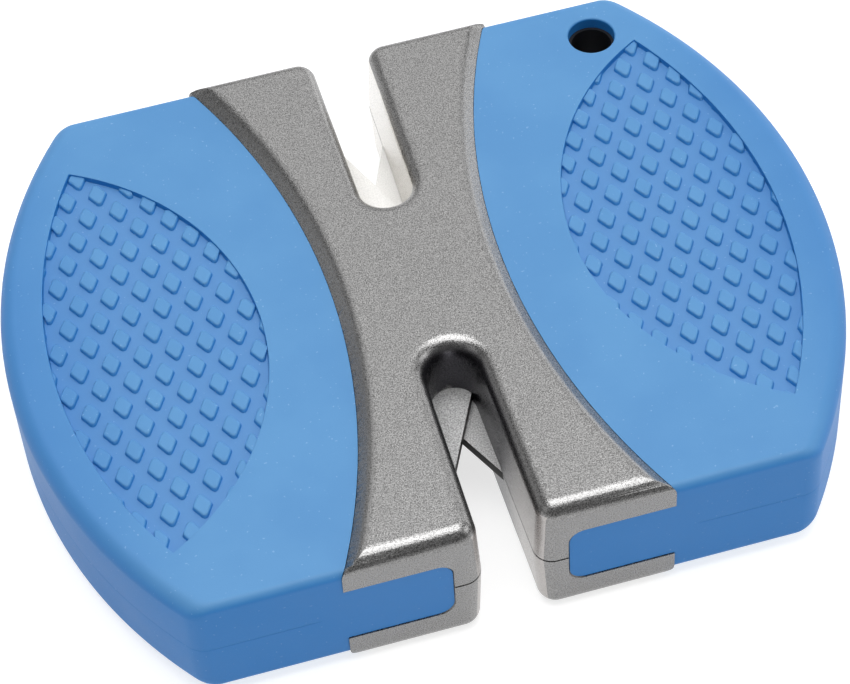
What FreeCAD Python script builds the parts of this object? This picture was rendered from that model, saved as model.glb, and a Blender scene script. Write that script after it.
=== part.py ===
import FreeCAD, Part
import math
import os

import Sketcher

# A two-stage pull through knife sharpener that lies flat. Two moulded covers meet at a seam at mid-height
# and clamp the tongues of two rubber-skinned wings. X runs along the width, the carbide slot opens toward
# -Y and the ceramic slot toward +Y, and Z = 0 is the flat underside. Lengths are in mm, angles in degrees.
SIZES = {
    # covers: an hourglass in plan, the same above and below the seam
    "cover_half_t": 7.8,
    "cover_half_y": 31.25,
    "waist_half_x": 8.7,
    "waist_radius": 71.0,
    "shoulder_round": 2.0,
    "rim_round": 1.7,
    "cover_skin": 1.9,
    # slots: a rounded closed end, walls that open toward the mouth and away from the seam
    "slot_depth": 21.55,
    "slot_seam_end": 2.25,
    "slot_seam_mouth": 2.6,
    "slot_top_end": 2.75,
    "slot_top_mouth": 2.95,
    "mouth_round": 1.85,
    # end windows, and the pocket behind each that a tongue fills
    "window_skin": 3.9,
    "window_wall": 2.55,
    "window_round": 1.6,
    "finger_depth": 6.05,
    "tongue_depth": 18.25,
    # web between the slots: walls round the plate seats and the cored-out cells
    "seat_wall": 1.21,
    "cell_rib": 1.4,
    "waist_wall": 2.1,
    # wings
    "wing_reach_x": 41.1,
    "wing_inset_y": 0.1,
    "wing_recess": 1.2,
    "wing_side_radius": 47.5,
    "wing_corner_round": 2.8,
    "wing_side_round": 2.0,
    "wing_end_round": 0.9,
    # leaf-shaped panel of raised studs on both faces of a wing
    "leaf_tip_inset_x": 11.13,
    "leaf_tip_inset_y": 7.05,
    "leaf_outer_inset": 4.56,
    "leaf_inner_inset": 7.15,
    "leaf_depth": 0.7,
    "stud_half_x": 0.88,
    "stud_half_y": 1.5,
    "stud_pitch": 3.12,
    "stud_row_pitch": 2.69,
    "stud_inset": 2.55,
    # rubber skin over the rigid cores
    "skin_side": 2.0,
    "skin_top": 1.3,
    "skin_inner": 1.2,
    "core_lap": 2.0,
    # lanyard hole
    "hole_inset_x": 15.15,
    "hole_inset_y": 5.07,
    "hole_grip_radius": 2.4,
    "hole_core_radius": 2.1,
    # carbide blades of the front slot
    "carbide_t": 1.2,
    "carbide_width": 5.0,
    "carbide_inner": 6.0,
    "carbide_mouth": 7.5,
    "carbide_half_angle": 26.0,
    "carbide_apex_depth": 16.15,
    # ceramic stones of the back slot
    "stone_t": 1.2,
    "stone_width": 5.2,
    "stone_inner": 8.6,
    "stone_mouth": 7.8,
    "stone_half_angle": 22.5,
    "stone_apex_depth": 13.25,
    # case screws
    "screw_offset_x": 1.2,
    "screw_offset_y": 1.0,
    "screw_core_radius": 0.85,
    "screw_bite": 3.95,
    "screw_tip": 0.9,
    "screw_tip_radius": 0.28,
    "screw_head_radius": 1.9,
    "screw_head_t": 1.1,
    "screw_hole_radius": 1.15,
    "boss_radius": 2.2,
    "counterbore_depth": 1.5,
    # clearances
    "rubber_gap": 0.05,
    "tongue_gap": 0.1,
    "boss_gap": 0.2,
    "plate_gap": 0.05,
    "thread_gap": 0.02,
    "pilot_gap": 1.45,
    "head_gap": 0.2,
    "run_out": 2.0,
}

DERIVED = {
    "seam_z": "cover_half_t",
    "waist_arc_x": "waist_half_x + waist_radius",
    "slot_end_y": "cover_half_y - slot_depth",
    "slot_seam_arc_y": "slot_end_y + slot_seam_end",
    "slot_top_arc_y": "slot_end_y + slot_top_end",
    "slot_out_y": "cover_half_y + run_out",
    "shoulder_x": "waist_half_x - shoulder_round",
    "shoulder_z": "cover_half_t - shoulder_round",
    "above_z": "cover_half_t + run_out",
    "below_z": "-run_out",
    # plates and their seats
    "carbide_apex_y": "cover_half_y - carbide_apex_depth",
    "carbide_reach_x": "carbide_width * cos(carbide_half_angle) + carbide_mouth * sin(carbide_half_angle)",
    "carbide_back": "carbide_inner * cos(carbide_half_angle) + carbide_width * sin(carbide_half_angle)",
    "carbide_seat_width": "carbide_width + plate_gap",
    "carbide_seat_inner": "carbide_inner + plate_gap",
    "carbide_seat_mouth": "carbide_mouth + plate_gap",
    "stone_apex_y": "cover_half_y - stone_apex_depth",
    "stone_reach_x": "stone_width * cos(stone_half_angle) + stone_mouth * sin(stone_half_angle)",
    "stone_back": "stone_inner * cos(stone_half_angle) + stone_width * sin(stone_half_angle)",
    "stone_seat_width": "stone_width + plate_gap",
    "stone_seat_inner": "stone_inner + plate_gap",
    "stone_seat_mouth": "stone_mouth + plate_gap",
    # pockets and cells of the covers
    "window_half_t": "cover_half_t - window_skin",
    "window_inner_x": "slot_top_mouth + window_wall",
    "finger_back_y": "cover_half_y - finger_depth",
    "spine_half_x": "max(carbide_reach_x; stone_reach_x) + seat_wall",
    "tongue_back_y": "cover_half_y - tongue_depth",
    "cell_half_rib": "cell_rib / 2",
    "cell_half_x": "waist_half_x - waist_wall",
    "cell_half_y": "min(carbide_apex_y - carbide_back; stone_apex_y - stone_back) - seat_wall",
    "cell_depth": "cover_half_t - cover_skin",
    # wing skin
    "wing_half_y": "cover_half_y - wing_inset_y",
    "wing_half_t": "cover_half_t - wing_recess",
    "wing_t": "2 * wing_half_t",
    "wing_arc_x": "wing_reach_x - wing_side_radius",
    "wing_inner_radius": "waist_radius - rubber_gap",
    "wing_end_x": "waist_arc_x - sqrt(wing_inner_radius^2 - wing_half_y^2)",
    "block_half_x": "wing_end_x + run_out",
    "lip_inner_x": "window_inner_x + rubber_gap",
    "lip_outer_x": "wing_end_x + core_lap",
    "lip_back_y": "wing_half_y - skin_side",
    "lip_t": "2 * (window_half_t - rubber_gap)",
    "lip_round": "window_round - rubber_gap",
    "hole_x": "wing_reach_x - hole_inset_x",
    "hole_y": "wing_half_y - hole_inset_y",
    # leaf and studs
    "leaf_tip_y": "wing_half_y - leaf_tip_inset_y",
    "leaf_outer_x": "wing_reach_x - leaf_outer_inset",
    "leaf_inner_x": "waist_half_x + leaf_inner_inset",
    "leaf_outer_rise": "leaf_tip_inset_x - leaf_outer_inset",
    "leaf_inner_rise": "leaf_outer_x - leaf_outer_rise - leaf_inner_x",
    "leaf_outer_radius": "(leaf_tip_y^2 + leaf_outer_rise^2) / (2 * leaf_outer_rise)",
    "leaf_inner_radius": "(leaf_tip_y^2 + leaf_inner_rise^2) / (2 * leaf_inner_rise)",
    "leaf_outer_arc_x": "leaf_outer_x - leaf_outer_radius",
    "leaf_inner_arc_x": "leaf_inner_x + leaf_inner_radius",
    "leaf_floor": "wing_half_t - leaf_depth",
    "leaf_tool_t": "leaf_depth + run_out",
    "stud_columns": "ceil((leaf_outer_x - leaf_inner_x) / stud_pitch) + 2",
    "stud_rows_even": "2 * floor(leaf_tip_y / (2 * stud_row_pitch)) + 1",
    "stud_rows_odd": "2 * floor((leaf_tip_y + stud_row_pitch) / (2 * stud_row_pitch))",
    "stud_row_step": "2 * stud_row_pitch",
    "stud_even_x": "leaf_inner_x + stud_inset - stud_pitch",
    "stud_even_y": "(1 - stud_rows_even) * stud_row_pitch",
    "stud_odd_x": "stud_even_x + stud_pitch / 2",
    "stud_odd_y": "(1 - stud_rows_odd) * stud_row_pitch",
    # core
    "core_t": "2 * (wing_half_t - skin_top)",
    "core_side_radius": "wing_side_radius - skin_side",
    "core_inner_radius": "wing_inner_radius - skin_inner",
    "core_corner_round": "wing_corner_round - skin_side",
    "tongue_t": "2 * (window_half_t - tongue_gap)",
    "tongue_tip_x": "window_inner_x + tongue_gap",
    "tongue_root_x": "spine_half_x + tongue_gap",
    "tongue_tip_y": "finger_back_y + tongue_gap",
    "tongue_root_y": "tongue_back_y + tongue_gap",
    "tongue_out_x": "wing_end_x + skin_inner + core_lap",
    # screws
    "screw_x": "spine_half_x + screw_offset_x",
    "screw_y": "finger_back_y + screw_offset_y",
    "screw_length": "cover_half_t - counterbore_depth + screw_bite",
    "screw_shank": "screw_length - screw_tip",
    "pilot_radius": "screw_core_radius + thread_gap",
    "pilot_depth": "screw_bite + pilot_gap",
    "boss_hole_radius": "boss_radius + boss_gap",
    "counterbore_radius": "screw_head_radius + head_gap",
}

NEAR = 1e-4
HALF_TURN = 180
ENDS = ("front", "back")
SIDES = ("left", "right")
NEGATIVE = ("front", "left")

doc = FreeCAD.newDocument("sharpener")


def fill_sheet():
    """Write the driving and the derived sizes, one alias to a row."""
    cells = doc.addObject("Spreadsheet::Sheet", "sizes")
    contents = {alias: str(number) for alias, number in SIZES.items()}
    contents.update({alias: "=" + formula for alias, formula in DERIVED.items()})
    for row, (alias, content) in enumerate(contents.items(), start=1):
        cells.set(f"A{row}", alias)
        cells.set(f"B{row}", content)
        cells.setAlias(f"B{row}", alias)
    doc.recompute()
    return cells


sheet = fill_sheet()


def value(size):
    """The number behind an alias, which may carry a minus sign. None stands for zero."""
    if size is None:
        return 0.0
    number = sheet.get(size.lstrip("-"))
    return -number if size.startswith("-") else number


def bind(target, path, size):
    """Tie a property to an alias of the sheet, which may carry a minus sign."""
    sign = "-" if size.startswith("-") else ""
    target.setExpression(path, f"{sign}<<sizes>>.{size.lstrip('-')}")


def toward(way, size):
    """The alias with the sign of an end or a side."""
    return "-" + size if way in NEGATIVE else size


# Sketches -----------------------------------------------------------------------------------------------

def new_sketch(body, name, level=None, apex=None, angle=None, plane_role="XY_Plane"):
    """A sketch on a plane of the body, lifted to a level or turned about an apex on the Y axis."""
    sketch = body.newObject("Sketcher::SketchObject", name)
    plane = next(item for item in body.Origin.OriginFeatures if item.Role == plane_role)
    sketch.AttachmentSupport = (plane, [""])
    sketch.MapMode = "FlatFace"
    if level:
        bind(sketch, "AttachmentOffset.Base.z", level)
    if apex:
        bind(sketch, "AttachmentOffset.Base.y", apex)
    if angle:
        turn = FreeCAD.Rotation(FreeCAD.Vector(0, 0, 1), value(angle))
        sketch.AttachmentOffset = FreeCAD.Placement(FreeCAD.Vector(), turn)
        sign = "-" if angle.startswith("-") else ""
        sketch.setExpression("AttachmentOffset.Rotation.Angle", f"{sign}<<sizes>>.{angle.lstrip('-')} * 1 deg")
    return sketch


def measure(sketch, kind, refs, size):
    """Add a dimension and bind it to the sheet."""
    index = sketch.addConstraint(Sketcher.Constraint(kind, *refs, value(size)))
    bind(sketch, f"Constraints[{index}]", size)


def place(sketch, point, x, y):
    """Dimension one point from the origin, or hold it on an axis where its distance is None.

    A sketch counts its own X axis as -1, whose start is the origin, and its Y axis as -2. A point is a
    geometry's index and 1 for its start, 2 for its end or 3 for its centre.
    """
    for kind, axis, size in (("DistanceX", -2, x), ("DistanceY", -1, y)):
        if size is None:
            sketch.addConstraint(Sketcher.Constraint("PointOnObject", *point, axis))
        else:
            measure(sketch, kind, (-1, 1, *point), size)


def add_line(sketch, start, end):
    """A straight line between two points given as numbers."""
    return sketch.addGeometry(Part.LineSegment(FreeCAD.Vector(*start, 0), FreeCAD.Vector(*end, 0)))


def add_loop(sketch, numbers):
    """A closed loop of straight lines through points given as numbers."""
    lines = [add_line(sketch, numbers[i - 1], numbers[i]) for i in range(len(numbers))]
    for i, line in enumerate(lines):
        sketch.addConstraint(Sketcher.Constraint("Coincident", lines[i - 1], 2, line, 1))
    return lines


def add_polygon(sketch, corners):
    """A closed polygon with every corner bound to the sheet."""
    lines = add_loop(sketch, [(value(x), value(y)) for x, y in corners])
    for line, corner in zip(lines, corners):
        place(sketch, (line, 2), *corner)


def add_rectangle(sketch, left, right, low, high):
    """A rectangle between four bound sides."""
    add_polygon(sketch, [(left, low), (right, low), (right, high), (left, high)])


def add_rhombus(sketch, x, y, half_x, half_y):
    """A rhombus with its diagonals along the axes, its left corner and its centre's height bound."""
    centre_x, centre_y, reach_x, reach_y = value(x), value(y), value(half_x), value(half_y)
    lines = add_loop(sketch, [(centre_x - reach_x, centre_y), (centre_x, centre_y - reach_y),
                              (centre_x + reach_x, centre_y), (centre_x, centre_y + reach_y)])
    centre = sketch.addGeometry(Part.Point(FreeCAD.Vector(centre_x, centre_y, 0)), True)
    place(sketch, (centre, 1), x, y)
    left, low, right, high = ((line, 2) for line in lines)
    for kind, start, end, size in (("DistanceX", left, (centre, 1), half_x),
                                   ("DistanceX", (centre, 1), right, half_x),
                                   ("DistanceY", low, (centre, 1), half_y),
                                   ("DistanceY", (centre, 1), high, half_y)):
        measure(sketch, kind, (*start, *end), size)
    for corner in (left, right):
        sketch.addConstraint(Sketcher.Constraint("Horizontal", *corner, centre, 1))
    for corner in (low, high):
        sketch.addConstraint(Sketcher.Constraint("Vertical", *corner, centre, 1))


def add_circle(sketch, x, y, radius):
    """A circle with a bound centre and radius."""
    centre = FreeCAD.Vector(value(x), value(y), 0)
    circle = sketch.addGeometry(Part.Circle(centre, FreeCAD.Vector(0, 0, 1), value(radius)))
    measure(sketch, "Radius", (circle,), radius)
    place(sketch, (circle, 3), x, y)


def add_side_arc(sketch, centre_x, radius, side, half_y):
    """An arc centred on the X axis that crosses it on one side of its centre. Gives its low and high ends."""
    reach = math.asin(value(half_y) / value(radius))
    middle = math.pi if side == "left" else 0.0
    circle = Part.Circle(FreeCAD.Vector(value(centre_x), 0, 0), FreeCAD.Vector(0, 0, 1), value(radius))
    arc = sketch.addGeometry(Part.ArcOfCircle(circle, middle - reach, middle + reach))
    place(sketch, (arc, 3), centre_x, None)
    measure(sketch, "Radius", (arc,), radius)
    return ((arc, 2), (arc, 1)) if side == "left" else ((arc, 1), (arc, 2))


def end_point(sketch, ref):
    """The present place of one end of a geometry."""
    point = sketch.getPoint(*ref)
    return point.x, point.y


def add_plan(sketch, left, right, half_y):
    """A plan closed by an arc on each side and by straight ends, each side a centre, a radius and a side."""
    left_low, left_high = add_side_arc(sketch, *left, half_y)
    right_low, right_high = add_side_arc(sketch, *right, half_y)
    for size, start, end in (("-" + half_y, left_low, right_low), (half_y, right_high, left_high)):
        line = add_line(sketch, end_point(sketch, start), end_point(sketch, end))
        sketch.addConstraint(Sketcher.Constraint("Coincident", line, 1, *start))
        sketch.addConstraint(Sketcher.Constraint("Coincident", line, 2, *end))
        sketch.addConstraint(Sketcher.Constraint("Horizontal", line))
        measure(sketch, "DistanceY", (-1, 1, line, 1), size)


def add_leaf(sketch):
    """The leaf-shaped panel: two arcs that meet at pointed tips."""
    inner_low, inner_high = add_side_arc(sketch, "leaf_inner_arc_x", "leaf_inner_radius", "left", "leaf_tip_y")
    outer_low, outer_high = add_side_arc(sketch, "leaf_outer_arc_x", "leaf_outer_radius", "right", "leaf_tip_y")
    sketch.addConstraint(Sketcher.Constraint("Coincident", *inner_low, *outer_low))
    sketch.addConstraint(Sketcher.Constraint("Coincident", *inner_high, *outer_high))


def add_slot(sketch, end, arc_y, half_end, half_mouth):
    """A slot's outline: a half-round closed end whose tangent sides open toward one end of the cover."""
    radius, middle_y = value(half_end), value(toward(end, arc_y))
    mouth_x, mouth_y = value(half_mouth), value(toward(end, "slot_out_y"))
    circle = Part.Circle(FreeCAD.Vector(0, middle_y, 0), FreeCAD.Vector(0, 0, 1), radius)
    start = 0.0 if end == "front" else math.pi
    left = add_line(sketch, (-mouth_x, mouth_y), (-radius, middle_y))
    arc = sketch.addGeometry(Part.ArcOfCircle(circle, start, start + math.pi))
    right = add_line(sketch, (radius, middle_y), (mouth_x, mouth_y))
    mouth = add_line(sketch, (mouth_x, mouth_y), (-mouth_x, mouth_y))
    arc_left, arc_right = (2, 1) if end == "front" else (1, 2)
    sketch.addConstraint(Sketcher.Constraint("Tangent", left, 2, arc, arc_left))
    sketch.addConstraint(Sketcher.Constraint("Tangent", arc, arc_right, right, 1))
    sketch.addConstraint(Sketcher.Constraint("Coincident", right, 2, mouth, 1))
    sketch.addConstraint(Sketcher.Constraint("Coincident", mouth, 2, left, 1))
    measure(sketch, "Radius", (arc,), half_end)
    place(sketch, (arc, 3), None, toward(end, arc_y))
    place(sketch, (mouth, 1), half_mouth, toward(end, "slot_out_y"))
    place(sketch, (mouth, 2), "-" + half_mouth, toward(end, "slot_out_y"))


def plate_sketch(body, name, end, kind, size_word, gap=None):
    """A plate's rectangle: its working edge runs through the apex on the Y axis, its width lies to the left."""
    angle = toward(end, f"{kind}_half_angle")
    sketch = new_sketch(body, name, apex=toward(end, f"{kind}_apex_y"), angle=angle)
    mouth, inner = f"{kind}_{size_word}mouth", f"{kind}_{size_word}inner"
    low, high = (mouth, inner) if end == "front" else (inner, mouth)
    add_rectangle(sketch, f"-{kind}_{size_word}width", gap, "-" + low, high)
    return sketch


# Features -----------------------------------------------------------------------------------------------

def new_body(name):
    """A body whose features follow one another."""
    return doc.addObject("PartDesign::Body", name)


def pad(body, name, sketch, length, symmetric=False):
    """Grow a sketch upward, or the same to both sides."""
    feature = body.newObject("PartDesign::Pad", name)
    feature.Profile = sketch
    if symmetric:
        feature.SideType = "Symmetric"
    bind(feature, "Length", length)
    doc.recompute()
    return feature


def cut(body, name, sketch, depth=None, upward=True):
    """Cut a sketch out of the body, to a depth or right through, and see that it took material away."""
    before = body.Shape.Volume
    feature = body.newObject("PartDesign::Pocket", name)
    feature.Profile = sketch
    feature.Reversed = upward
    if depth:
        bind(feature, "Length", depth)
    else:
        feature.SideType = "Symmetric"
        feature.Type = "ThroughAll"
    doc.recompute()
    if body.Shape.Volume > before - NEAR:
        raise RuntimeError(f"{name} cuts nothing")
    return feature


def round_edges(body, name, radius, wanted):
    """Round every edge of the body that the test wants."""
    base = body.Tip
    names = [f"Edge{i}" for i, edge in enumerate(base.Shape.Edges, start=1) if wanted(edge)]
    if not names:
        raise RuntimeError(f"{name} finds no edge")
    feature = body.newObject("PartDesign::Fillet", name)
    feature.Base = (base, names)
    bind(feature, "Radius", radius)
    doc.recompute()
    return feature


def every_vertex(edge, test):
    """Whether the test holds at each end of an edge."""
    return all(test(vertex.Point) for vertex in edge.Vertexes)


def at(number, size):
    """Whether a coordinate's distance from zero is a size of the sheet."""
    return abs(abs(number) - value(size)) < NEAR


# Covers -------------------------------------------------------------------------------------------------

def cut_slot(body, end):
    """One tapered slot, narrowest at the seam."""
    seam = new_sketch(body, f"{end}_slot_seam")
    add_slot(seam, end, "slot_seam_arc_y", "slot_seam_end", "slot_seam_mouth")
    top = new_sketch(body, f"{end}_slot_top", level="cover_half_t")
    add_slot(top, end, "slot_top_arc_y", "slot_top_end", "slot_top_mouth")
    doc.recompute()
    loft = body.newObject("PartDesign::SubtractiveLoft", f"{end}_slot")
    loft.Profile = seam
    loft.Sections = [top]
    loft.Ruled = True
    doc.recompute()


def round_slots_and_ends(body):
    """Round the slot mouths, then the rims that run along the ends and round the slots."""
    round_edges(body, "mouths", "mouth_round", lambda edge: every_vertex(
        edge, lambda p: at(p.y, "cover_half_y") and abs(p.x) < value("window_inner_x"))
        and abs(edge.Vertexes[0].Z - edge.Vertexes[-1].Z) > NEAR)
    round_edges(body, "rims", "rim_round", lambda edge: every_vertex(
        edge, lambda p: at(p.z, "cover_half_t")) and not at(edge.CenterOfMass.x, "block_half_x"))


def turn_waist(body, side):
    """Turn one hollow side out of the block, with a round shoulder that meets the end rims in a mitre."""
    profile = new_sketch(body, f"{side}_waist_profile", plane_role="XZ_Plane")
    axis, wall, crown = (toward(side, size) for size in ("waist_arc_x", "waist_half_x", "shoulder_x"))
    corners = [(wall, "shoulder_z"), (wall, "below_z"), (axis, "below_z"), (axis, "above_z"),
               (crown, "above_z"), (crown, "cover_half_t")]
    numbers = [(value(x), value(z)) for x, z in corners]
    lines = [add_line(profile, *ends) for ends in zip(numbers, numbers[1:])]
    centre = FreeCAD.Vector(value(crown), value("shoulder_z"), 0)
    circle = Part.Circle(centre, FreeCAD.Vector(0, 0, 1), value("shoulder_round"))
    start = math.pi / 2 if side in NEGATIVE else 0.0
    arc = profile.addGeometry(Part.ArcOfCircle(circle, start, start + math.pi / 2))
    low, high = (2, 1) if side in NEGATIVE else (1, 2)
    for first, second in zip(lines, lines[1:]):
        profile.addConstraint(Sketcher.Constraint("Coincident", first, 2, second, 1))
    profile.addConstraint(Sketcher.Constraint("Coincident", lines[-1], 2, arc, high))
    profile.addConstraint(Sketcher.Constraint("Coincident", arc, low, lines[0], 1))
    profile.addConstraint(Sketcher.Constraint("Vertical", arc, 3, arc, high))
    for line, corner in zip(lines, corners):
        place(profile, (line, 1), *corner)
    place(profile, (arc, 3), crown, "shoulder_z")
    groove = body.newObject("PartDesign::Groove", f"{side}_waist")
    groove.Profile = profile
    groove.ReferenceAxis = (profile, ["Edge3"])
    doc.recompute()


def cut_tongue_pockets(body):
    """Four pockets from the seam for the tongues, each open to the side and through an end window."""
    pockets = new_sketch(body, "tongue_pockets_plan")
    for end in ENDS:
        for side in SIDES:
            add_polygon(pockets, [
                (toward(side, "window_inner_x"), toward(end, "slot_out_y")),
                (toward(side, "window_inner_x"), toward(end, "finger_back_y")),
                (toward(side, "spine_half_x"), toward(end, "finger_back_y")),
                (toward(side, "spine_half_x"), toward(end, "tongue_back_y")),
                (toward(side, "waist_arc_x"), toward(end, "tongue_back_y")),
                (toward(side, "waist_arc_x"), toward(end, "slot_out_y")),
            ])
    cut(body, "tongue_pockets", pockets, "window_half_t")
    round_edges(body, "window_corners", "window_round", lambda edge: every_vertex(
        edge, lambda p: at(p.z, "window_half_t") and at(p.x, "window_inner_x")))


def cut_web_cells(body):
    """Cored-out cells on both sides of the ribs that cross the web between the slots."""
    cells = new_sketch(body, "web_cells_plan")
    for end in ENDS:
        for side in SIDES:
            add_rectangle(cells, toward(side, "cell_half_rib"), toward(side, "cell_half_x"),
                          toward(end, "cell_half_rib"), toward(end, "cell_half_y"))
    cut(body, "web_cells", cells, "cell_depth")


def add_screw_circles(sketch, radius):
    """A circle at each of the four screws."""
    for end in ENDS:
        for side in SIDES:
            add_circle(sketch, toward(side, "screw_x"), toward(end, "screw_y"), radius)


def make_cover(name, flipped):
    """One cover half, made seam down, with seats for the plates that lie on its side of the seam."""
    body = new_body(name)
    plan = new_sketch(body, "block_plan")
    add_rectangle(plan, "-block_half_x", "block_half_x", "-cover_half_y", "cover_half_y")
    pad(body, "block", plan, "cover_half_t")
    for end in ENDS:
        cut_slot(body, end)
    round_slots_and_ends(body)
    for side in SIDES:
        turn_waist(body, side)
    cut_tongue_pockets(body)
    cut_web_cells(body)

    bosses = new_sketch(body, "bosses_plan")
    add_screw_circles(bosses, "boss_radius")
    pad(body, "bosses", bosses, "window_half_t")
    holes = new_sketch(body, "screw_holes_plan")
    if flipped:
        add_screw_circles(holes, "screw_hole_radius")
        cut(body, "screw_holes", holes)
        heads = new_sketch(body, "counterbores_plan", level="cover_half_t")
        add_screw_circles(heads, "counterbore_radius")
        cut(body, "counterbores", heads, "counterbore_depth", upward=False)
    else:
        add_screw_circles(holes, "pilot_radius")
        cut(body, "pilot_holes", holes, "pilot_depth")

    for end, kind in (("front", "carbide"), ("back", "stone")):
        seat = plate_sketch(body, f"{kind}_seat_plan", end, kind, "seat_", gap="plate_gap")
        cut(body, f"{kind}_seat", seat, f"{kind}_t")
    put_at_seam(body, flipped)
    return body


def put_at_seam(piece, flipped=False, half_turn=False):
    """Lift a piece to the seam, turned over about Y for the lower half or about Z for the left wing."""
    axis = FreeCAD.Vector(0, 0, 1) if half_turn else FreeCAD.Vector(0, 1, 0)
    turn = FreeCAD.Rotation(axis, HALF_TURN if flipped or half_turn else 0)
    piece.Placement = FreeCAD.Placement(FreeCAD.Vector(0, 0, value("seam_z")), turn)
    bind(piece, "Placement.Base.z", "seam_z")


# Wings --------------------------------------------------------------------------------------------------

def make_core(name):
    """The rigid core of the right wing: a plate inside the rubber and two tongues between the covers."""
    body = new_body(name)
    plan = new_sketch(body, "plate_plan")
    inner, outer = ("waist_arc_x", "core_inner_radius", "left"), ("wing_arc_x", "core_side_radius", "right")
    add_plan(plan, inner, outer, "lip_back_y")
    pad(body, "plate", plan, "core_t", symmetric=True)
    round_edges(body, "corners", "core_corner_round", lambda edge: every_vertex(
        edge, lambda p: at(p.y, "lip_back_y") and p.x > value("tongue_out_x"))
        and edge.BoundBox.ZLength > value("core_t") / 2)

    tongues = new_sketch(body, "tongues_plan")
    for end in ENDS:
        add_polygon(tongues, [
            ("tongue_tip_x", toward(end, "tongue_tip_y")),
            ("tongue_tip_x", toward(end, "lip_back_y")),
            ("tongue_out_x", toward(end, "lip_back_y")),
            ("tongue_out_x", toward(end, "tongue_root_y")),
            ("tongue_root_x", toward(end, "tongue_root_y")),
            ("tongue_root_x", toward(end, "tongue_tip_y")),
        ])
    pad(body, "tongues", tongues, "tongue_t", symmetric=True)
    round_edges(body, "tongue_tips", "window_round", lambda edge: every_vertex(
        edge, lambda p: at(p.x, "tongue_tip_x")) and edge.BoundBox.ZLength < NEAR)
    holes = new_sketch(body, "boss_holes_plan")
    for end in ENDS:
        add_circle(holes, "screw_x", toward(end, "screw_y"), "boss_hole_radius")
    cut(body, "boss_holes", holes)
    return body


def make_rubber(name):
    """The right wing's rubber before the core is taken out of it and its long edges are rounded."""
    body = new_body(name)
    plan = new_sketch(body, "wing_plan")
    inner, outer = ("waist_arc_x", "wing_inner_radius", "left"), ("wing_arc_x", "wing_side_radius", "right")
    add_plan(plan, inner, outer, "wing_half_y")
    pad(body, "wing", plan, "wing_t", symmetric=True)
    round_edges(body, "corners", "wing_corner_round", lambda edge: every_vertex(
        edge, lambda p: at(p.y, "wing_half_y") and p.x > value("lip_outer_x"))
        and edge.BoundBox.ZLength > value("wing_half_t"))

    lips = new_sketch(body, "lips_plan")
    for end in ENDS:
        add_rectangle(lips, "lip_inner_x", "lip_outer_x", toward(end, "lip_back_y"), toward(end, "wing_half_y"))
    pad(body, "lips", lips, "lip_t", symmetric=True)
    round_edges(body, "lip_corners", "lip_round", lambda edge: every_vertex(
        edge, lambda p: at(p.x, "lip_inner_x")) and edge.BoundBox.ZLength < NEAR)

    return body


def make_leaf_tool():
    """What is cut from a wing's face: the leaf's prism less its studs, whose tops stay level with the face."""
    leaf = new_body("leaf_prism")
    outline = new_sketch(leaf, "leaf_plan", level="leaf_floor")
    add_leaf(outline)
    pad(leaf, "leaf", outline, "leaf_tool_t")

    studs = new_body("studs")
    for word in ("even", "odd"):
        rhombus = new_sketch(studs, f"{word}_stud_plan", level="leaf_floor")
        add_rhombus(rhombus, f"stud_{word}_x", f"stud_{word}_y", "stud_half_x", "stud_half_y")
        stud = pad(studs, f"{word}_stud", rhombus, "leaf_tool_t")
        repeat(studs, f"{word}_rows", stud, f"stud_rows_{word}")
    return join("Part::Cut", "leaf_tool", Base=leaf, Tool=studs)


def repeat(body, name, feature, rows):
    """A grid of copies of one stud, with the pitch of the studs along X and two rows' pitch along Y."""
    grid = body.newObject("PartDesign::LinearPattern", name)
    grid.Originals = [feature]
    axes = {item.Role: item for item in body.Origin.OriginFeatures}
    grid.Direction, grid.Direction2 = (axes["X_Axis"], [""]), (axes["Y_Axis"], [""])
    grid.Mode = grid.Mode2 = "Spacing"
    for path, size in (("Occurrences", "stud_columns"), ("Offset", "stud_pitch"),
                       ("Occurrences2", rows), ("Offset2", "stud_row_step")):
        bind(grid, path, size)
    body.Tip = grid
    doc.recompute()


def join(kind, name, **links):
    """A boolean or mirror of whole pieces."""
    result = doc.addObject(kind, name)
    for link, item in links.items():
        setattr(result, link, item)
    doc.recompute()
    return result


def rounded_edges(shape):
    """The edges of a wing's two faces to round, each with its first and last radius.

    The round is full along the side and the corners, and fades out along the ends toward the cover.
    """
    side, fade = value("wing_side_round"), value("wing_end_round")
    edges = []
    for index, edge in enumerate(shape.Edges, start=1):
        first, last = edge.valueAt(edge.FirstParameter), edge.valueAt(edge.LastParameter)
        outer = min(first.x, last.x) > value("lip_outer_x")
        at_ends = at(first.y, "wing_half_y") and at(last.y, "wing_half_y") and abs(first.y - last.y) < NEAR
        if not (at(first.z, "wing_half_t") and at(last.z, "wing_half_t")) or edge.isClosed():
            continue
        if at_ends:
            edges.append((index, fade, side) if first.x < last.x else (index, side, fade))
        elif outer:
            edges.append((index, side, side))
    return edges


def make_grip():
    """The rubber moulded over a core, with a leaf of studs on both faces and no lanyard hole."""
    rubber = make_rubber("rubber")
    rounded = join("Part::Fillet", "rounded_rubber", Base=rubber, Edges=rounded_edges(rubber.Shape))
    hollow = join("Part::Cut", "hollow_rubber", Base=rounded, Tool=make_core("cavity"))
    top = make_leaf_tool()
    under = join("Part::Mirroring", "under_leaf_tool", Source=top, Normal=FreeCAD.Vector(0, 0, 1))
    leaves = join("Part::Compound", "leaf_tools", Links=[top, under])
    return join("Part::Cut", "grip", Base=hollow, Tool=leaves, Refine=False)


def make_drill(radius):
    """A round tool for the lanyard hole, as deep as the wing to each side."""
    body = new_body("drill")
    hole = new_sketch(body, "lanyard_hole_plan")
    add_circle(hole, "hole_x", "hole_y", radius)
    pad(body, "bore", hole, "wing_t", symmetric=True)
    return body


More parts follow.
